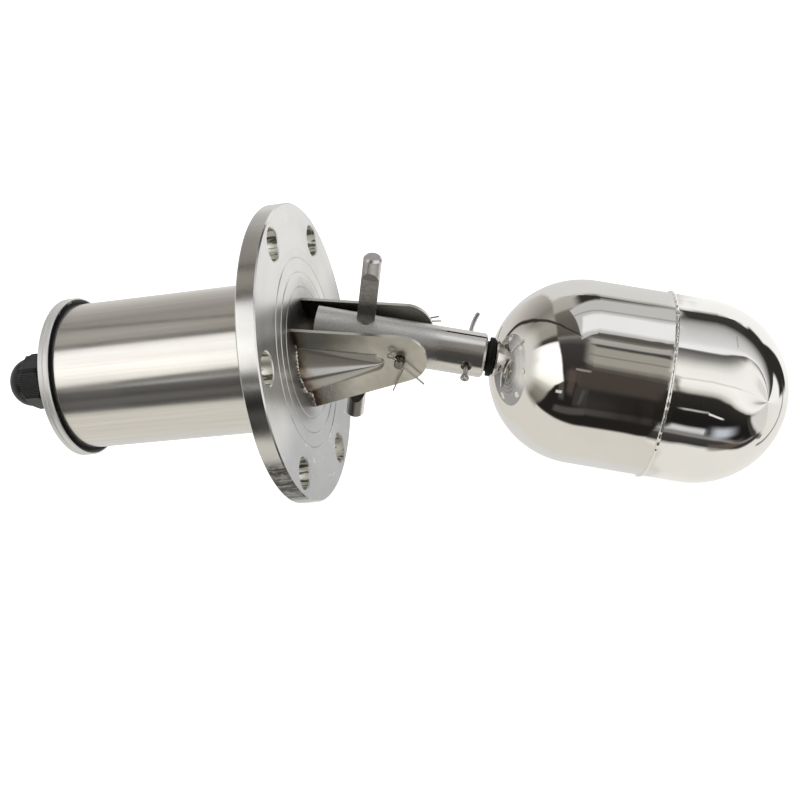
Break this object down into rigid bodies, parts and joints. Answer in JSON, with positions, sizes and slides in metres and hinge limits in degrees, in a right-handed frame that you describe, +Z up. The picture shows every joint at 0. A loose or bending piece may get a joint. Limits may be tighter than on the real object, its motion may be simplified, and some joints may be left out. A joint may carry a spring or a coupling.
{
  "type": "float level switch",
  "caption": "Side-mounted float level switch: bolted flange, sealed housing tube with cable gland, and a hinged arm carrying a hollow steel float.",
  "frame": {"origin": "centre of the mounting flange's wetted face", "axes": "+X along the flange axis towards the float, +Y along the pivot pin, +Z up"},
  "size_m": [0.3666, 0.14, 0.156],
  "materials": {
    "flange_steel": "fine turned",
    "tube_steel": "long-grain satin",
    "cover_steel": "satin, turned",
    "black_rubber": "matt black",
    "zinc_steel": "zinc plated",
    "black_nylon": "moulded nylon",
    "cheek_steel": "pressed sheet, satin with a warm tint",
    "pin_steel": "turned bright",
    "wire_steel": "drawn wire",
    "cast_arm": "bead-blasted grey",
    "magnet": "dark sintered",
    "rod_steel": "ground bar",
    "mirror_float": "mirror polished",
    "phenolic": "brown-black phenolic",
    "lever_nylon": "natural nylon",
    "contact_bronze": "phosphor bronze"
  },
  "bodies": {
    "housing": {"mounting_flange": "flange_steel", "housing_tube": "tube_steel", "end_cover": "cover_steel", "cover_gasket": "black_rubber", "tie_studs": "zinc_steel", "cover_washers": "zinc_steel", "cover_nuts": "zinc_steel", "carrier_spacers": "zinc_steel", "carrier_nuts": "zinc_steel", "gland_body": "black_nylon", "gland_cap": "black_nylon", "gland_seal": "black_rubber", "gland_washer": "black_rubber", "left_cheek": "cheek_steel", "right_cheek": "cheek_steel", "pivot_pin": "pin_steel", "near_split_pin": "wire_steel", "far_split_pin": "wire_steel", "contact_carrier": "phenolic", "lever_pin": "pin_steel", "upper_contacts": "contact_bronze", "lower_contacts": "contact_bronze", "terminal_screws": "contact_bronze"},
    "float_arm_group": {"float_arm": "cast_arm", "arm_magnet": "magnet", "magnet_cap": "pin_steel", "stop_rod": "rod_steel", "float_stem": "pin_steel", "neck_collar": "black_rubber", "float_inner_shell": "mirror_float", "float_outer_shell": "mirror_float", "stem_split_pin": "wire_steel"},
    "lever_group": {"switch_lever": "lever_nylon", "lever_magnet": "magnet", "contact_bridge": "contact_bronze"}
  },
  "joints": [
    {"name": "float_swing", "type": "hinge", "parent": "housing", "child": "float_arm_group", "pos_m": [0.046, 0, 0], "axis": [0, -1, 0], "range_deg": [0, 38.2]},
    {"name": "switch_rock", "type": "hinge", "parent": "housing", "child": "lever_group", "pos_m": [-0.037, 0, 0], "axis": [0, -1, 0], "range_deg": [0, 20]}
  ],
  "couplings": [
    {"joint": "switch_rock", "follows": "float_swing", "ratio": 0.523}
  ]
}
